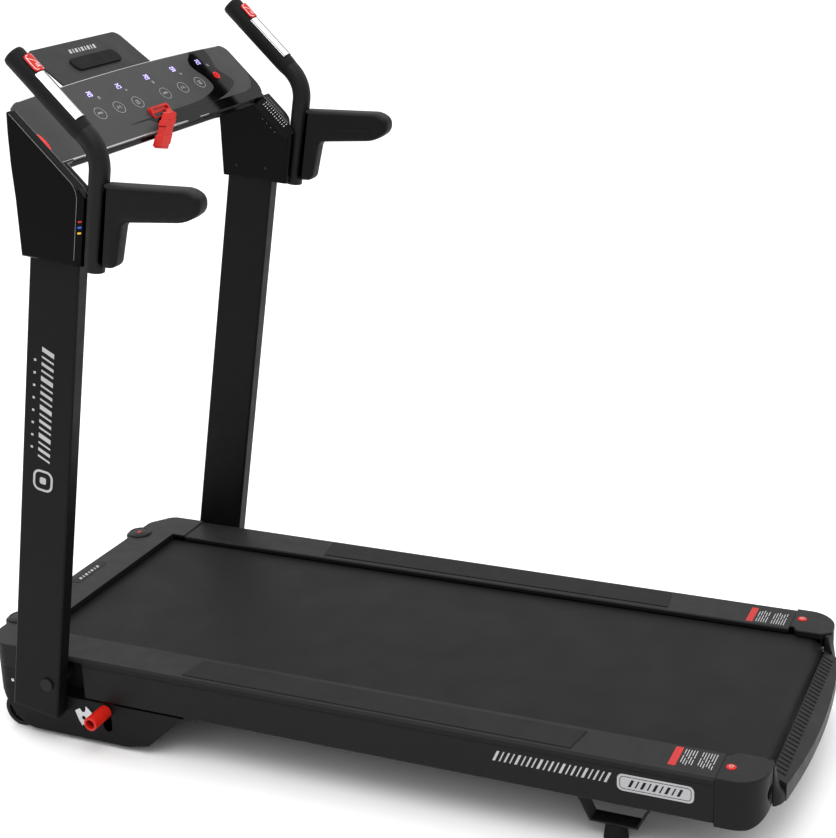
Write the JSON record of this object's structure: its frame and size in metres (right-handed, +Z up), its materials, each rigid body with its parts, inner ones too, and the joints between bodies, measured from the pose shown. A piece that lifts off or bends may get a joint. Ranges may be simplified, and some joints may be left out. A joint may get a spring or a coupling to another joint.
{
  "type": "folding treadmill",
  "caption": "Flat-deck motorised home treadmill whose console mast folds down along the deck, with handlebars, armrests and a tilting tablet flap.",
  "frame": {"origin": "on the floor under the middle of the machine, halfway along its length and width", "axes": "+Y is the way the user faces, from the belt's rear end to the motor hood; +X is the user's right; +Z is up"},
  "size_m": [0.706, 1.44, 1.2151],
  "materials": {
    "frame_paint": "satin black powder coat",
    "motor_steel": "zinc-plated steel",
    "rotor_steel": "turned steel",
    "bearing_steel": "ground steel",
    "roller_steel": "turned steel tube",
    "drive_rubber": "matt ribbed rubber",
    "running_belt": "satin PVC belt with a fine diamond weave",
    "deck_board": "waxed MDF",
    "rubber": "matt rubber",
    "wheel_plastic": "moulded, satin",
    "rail_cover": "fine-grained moulding",
    "foot_pad": "ribbed anti-slip rubber",
    "cap_plastic": "fine-grained moulding",
    "hood_plastic": "fine-grained moulding",
    "hood_cap": "moulded, satin",
    "belly_plastic": "moulded, satin",
    "circuit": "solder-masked circuit board",
    "inlet_plastic": "moulded, satin",
    "red_plastic": "moulded, glossy",
    "silver": "zinc-plated steel",
    "upright_paint": "satin black powder coat",
    "shroud_gloss": "piano black moulding",
    "crossbar_paint": "satin black",
    "console_body": "piano black moulding",
    "console_top": "satin charcoal overlay with gloss-black graphics",
    "bar_paint": "satin black powder coat",
    "grip_foam": "closed-cell foam, matt",
    "armrest_foam": "moulded skin foam, fine grain",
    "chrome": "polished",
    "flap_plastic": "satin charcoal moulding"
  },
  "bodies": {
    "base": {"belly_pan": "belly_plastic", "catch_plate": "silver", "deck_board": "deck_board", "deck_cross_members": "frame_paint", "deck_cushions": "rubber", "drive_belt": "drive_rubber", "foot_brackets": "frame_paint", "foot_pads": "foot_pad", "frame_tube_left": "frame_paint", "frame_tube_right": "frame_paint", "front_axle": "bearing_steel", "hinge_plate_left": "frame_paint", "hinge_plate_right": "frame_paint", "hood_caps": "hood_cap", "motor_case": "motor_steel", "motor_controller": "circuit", "motor_hood": "hood_plastic", "motor_mount": "frame_paint", "pivot_bolts": "frame_paint", "power_inlet": "inlet_plastic", "rear_axle": "bearing_steel", "rear_cap_left": "cap_plastic", "rear_cap_right": "cap_plastic", "rear_feet": "rubber", "rear_guard": "cap_plastic", "roller_bearings": "bearing_steel", "running_belt": "running_belt", "side_rail_left": "rail_cover", "side_rail_right": "rail_cover", "tension_bolts": "motor_steel", "wheel_bolts": "motor_steel"},
    "mast": {"upright_left": "upright_paint", "upright_right": "upright_paint", "upright_caps": "inlet_plastic", "shroud_left": "shroud_gloss", "shroud_right": "shroud_gloss", "console_crossbar": "crossbar_paint", "console_shell": "console_body", "console_panel": "console_top", "display_board": "circuit", "handlebar_left": "bar_paint", "handlebar_right": "bar_paint", "grip_sleeves": "grip_foam", "armrest_left": "armrest_foam", "armrest_right": "armrest_foam", "pulse_plates": "chrome", "flap_pin": "bearing_steel", "mast_screws": "frame_paint"},
    "motor_rotor": {"motor_rotor": "rotor_steel"},
    "front_roller": {"front_roller": "roller_steel"},
    "rear_roller": {"rear_roller": "roller_steel"},
    "wheel_left": {"wheel_left": "wheel_plastic"},
    "wheel_right": {"wheel_right": "wheel_plastic"},
    "pedal": {"release_pedal": "red_plastic"},
    "rocker": {"power_rocker": "red_plastic"},
    "start_button": {"start_button": "red_plastic"},
    "safety_key": {"safety_key": "red_plastic"},
    "tablet_flap": {"tablet_flap": "flap_plastic"},
    "quick_key_left": {"quick_key_left": "red_plastic"},
    "quick_key_right": {"quick_key_right": "red_plastic"}
  },
  "joints": [
    {"name": "mast_fold", "type": "hinge", "parent": "base", "child": "mast", "pos_m": [0, 0.552, 0.1215], "axis": [1, 0, 0], "range_deg": [0, 72]},
    {"name": "front_roller_spin", "type": "hinge", "parent": "base", "child": "front_roller", "pos_m": [0, 0.652, 0.125], "axis": [1, 0, 0], "continuous": true},
    {"name": "rear_roller_spin", "type": "hinge", "parent": "base", "child": "rear_roller", "pos_m": [0, -0.648, 0.125], "axis": [1, 0, 0], "continuous": true},
    {"name": "motor_spin", "type": "hinge", "parent": "base", "child": "motor_rotor", "pos_m": [0, 0.56, 0.053], "axis": [1, 0, 0], "continuous": true},
    {"name": "wheel_left_spin", "type": "hinge", "parent": "base", "child": "wheel_left", "pos_m": [-0.281, 0.649, 0.032], "axis": [1, 0, 0], "continuous": true},
    {"name": "wheel_right_spin", "type": "hinge", "parent": "base", "child": "wheel_right", "pos_m": [0.281, 0.649, 0.032], "axis": [1, 0, 0], "continuous": true},
    {"name": "pedal_press", "type": "slide", "parent": "base", "child": "pedal", "axis": [0, 0, -1], "range_m": [0, 0.025], "stiffness_N_per_m": 1200, "springref_m": -0.01},
    {"name": "rocker_tilt", "type": "hinge", "parent": "base", "child": "rocker", "pos_m": [0.188, 0.68, 0.092], "axis": [1, 0, 0], "range_deg": [0, 14]},
    {"name": "start_press", "type": "slide", "parent": "mast", "child": "start_button", "axis": [0, 0.7071, -0.7071], "range_m": [0, 0.0012], "stiffness_N_per_m": 900, "springref_m": -0.001},
    {"name": "key_pull", "type": "slide", "parent": "mast", "child": "safety_key", "axis": [0, -0.7071, 0.7071], "range_m": [0, 0.04]},
    {"name": "flap_fold", "type": "hinge", "parent": "mast", "child": "tablet_flap", "pos_m": [0, 0.5164, 1.1208], "axis": [1, 0, 0], "range_deg": [-100, 0]},
    {"name": "quick_left_press", "type": "slide", "parent": "mast", "child": "quick_key_left", "axis": [0, 0.7071, -0.7071], "range_m": [0, 0.001], "stiffness_N_per_m": 900, "springref_m": -0.001},
    {"name": "quick_right_press", "type": "slide", "parent": "mast", "child": "quick_key_right", "axis": [0, 0.7071, -0.7071], "range_m": [0, 0.001], "stiffness_N_per_m": 900, "springref_m": -0.001}
  ],
  "couplings": [
    {"joint": "rear_roller_spin", "follows": "front_roller_spin", "ratio": 1},
    {"joint": "motor_spin", "follows": "front_roller_spin", "ratio": 2.3636}
  ]
}
